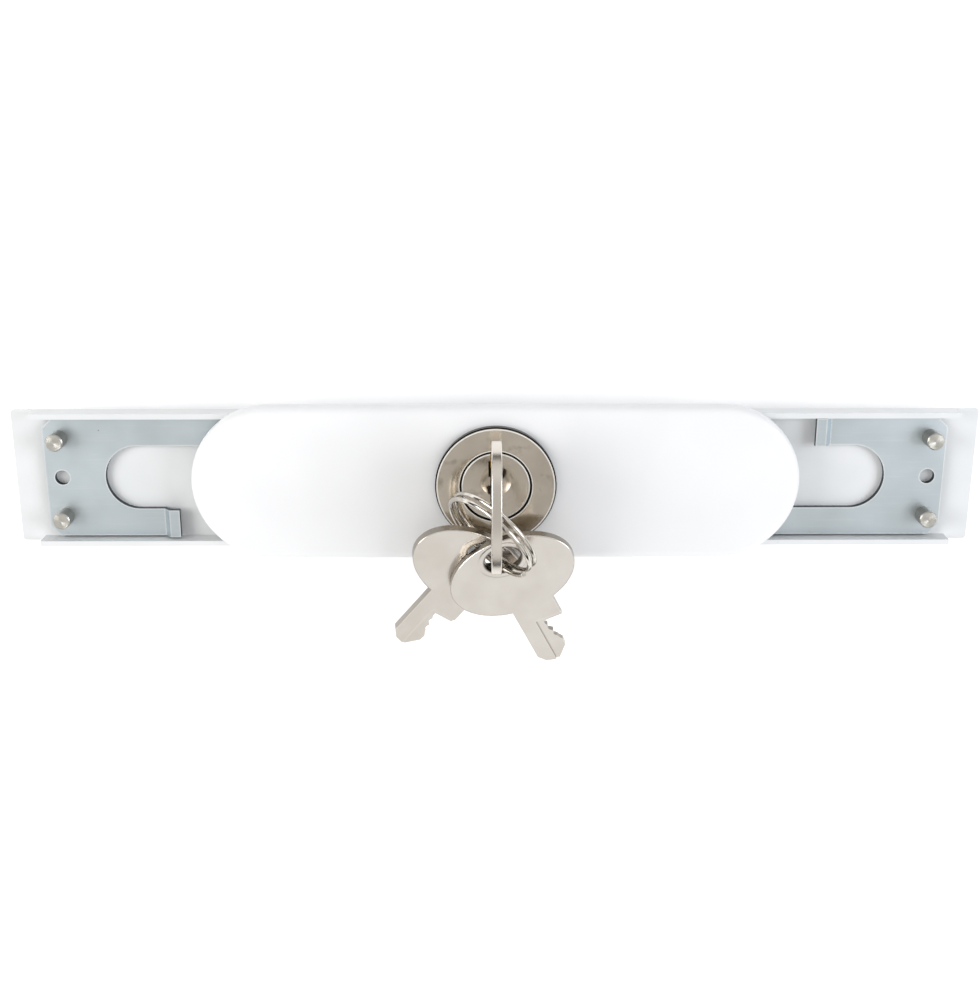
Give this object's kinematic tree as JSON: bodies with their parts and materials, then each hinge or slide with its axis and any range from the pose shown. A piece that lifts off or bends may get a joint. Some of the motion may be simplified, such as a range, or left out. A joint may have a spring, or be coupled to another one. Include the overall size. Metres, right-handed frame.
{
  "type": "roller shutter lock",
  "caption": "Slim channel lock for a roller shutter: a key cylinder under a rounded cover drives toothed fork plates with bar studs at both ends.",
  "frame": {"origin": "on the cylinder axis, in the plane of the channel's back face, midway between the two fixing holes", "axes": "+X along the lock, +Y towards the upper flange, +Z out of the front face"},
  "size_m": [0.2, 0.055, 0.0372],
  "materials": {
    "white_powder_coat": "white powder coat",
    "white_painted_zinc": "smooth white paint",
    "nickel_plate": "polished nickel plate",
    "nickel_key": "tumbled nickel plate",
    "nickel_wire": "bright nickel plate",
    "zinc_plate_sheet": "bluish zinc plate",
    "zinc_plate_steel": "zinc plate",
    "rivet_steel": "turned steel",
    "sintered_steel": "oiled sintered steel",
    "spring_steel": "blued spring steel",
    "brass": "punched brass",
    "black_acetal": "moulded black plastic"
  },
  "bodies": {
    "case": {"channel": "white_powder_coat", "cover": "white_painted_zinc", "collar": "nickel_plate", "collar_nut": "zinc_plate_steel", "rear_cap": "black_acetal", "cap_screws": "zinc_plate_steel", "cover_screws": "zinc_plate_steel", "guide_plate": "zinc_plate_steel", "guide_posts": "rivet_steel"},
    "barrel": {"plug": "nickel_plate", "wafers": "brass", "wafer_springs": "spring_steel", "pinion": "sintered_steel", "stop_washer": "zinc_plate_steel", "plug_clip": "spring_steel"},
    "left_plate": {"left_slide": "zinc_plate_sheet", "left_studs": "rivet_steel"},
    "right_plate": {"right_slide": "zinc_plate_sheet", "right_studs": "rivet_steel"},
    "key": {"inserted_key": "nickel_key"},
    "ring": {"split_ring": "nickel_wire"},
    "front_key": {"front_spare_key": "nickel_key"},
    "rear_key": {"rear_spare_key": "nickel_key"}
  },
  "joints": [
    {"name": "plug_turn", "type": "hinge", "parent": "case", "child": "barrel", "pos_m": [0, 0, 0], "axis": [0, 0, -1], "range_deg": [0, 90]},
    {"name": "left_plate_slide", "type": "slide", "parent": "case", "child": "left_plate", "axis": [1, 0, 0], "range_m": [0, 0.01382]},
    {"name": "right_plate_slide", "type": "slide", "parent": "case", "child": "right_plate", "axis": [-1, 0, 0], "range_m": [0, 0.01382]},
    {"name": "key_pull", "type": "slide", "parent": "barrel", "child": "key", "axis": [0, 0, 1], "range_m": [0, 0.013]},
    {"name": "ring_swing", "type": "hinge", "parent": "key", "child": "ring", "pos_m": [-0.00028, -0.00387, 0.0276], "axis": [-0.099, -0.1195, 0.9879], "range_deg": [0, 90]},
    {"name": "front_key_swing", "type": "hinge", "parent": "ring", "child": "front_key", "pos_m": [0.00114, -0.01498, 0.01405], "axis": [0.0092, -0.2285, 0.9735], "range_deg": [-8, 8]},
    {"name": "rear_key_swing", "type": "hinge", "parent": "ring", "child": "rear_key", "pos_m": [-0.00196, -0.01317, 0.01176], "axis": [0.1245, -0.3055, 0.944], "range_deg": [-8, 8]}
  ],
  "couplings": [
    {"joint": "plug_turn", "follows": "left_plate_slide", "rad_per_m": 113.64},
    {"joint": "right_plate_slide", "follows": "left_plate_slide", "ratio": 1},
    {"joint": "ring_swing", "follows": "left_plate_slide", "rad_per_m": 113.64}
  ]
}
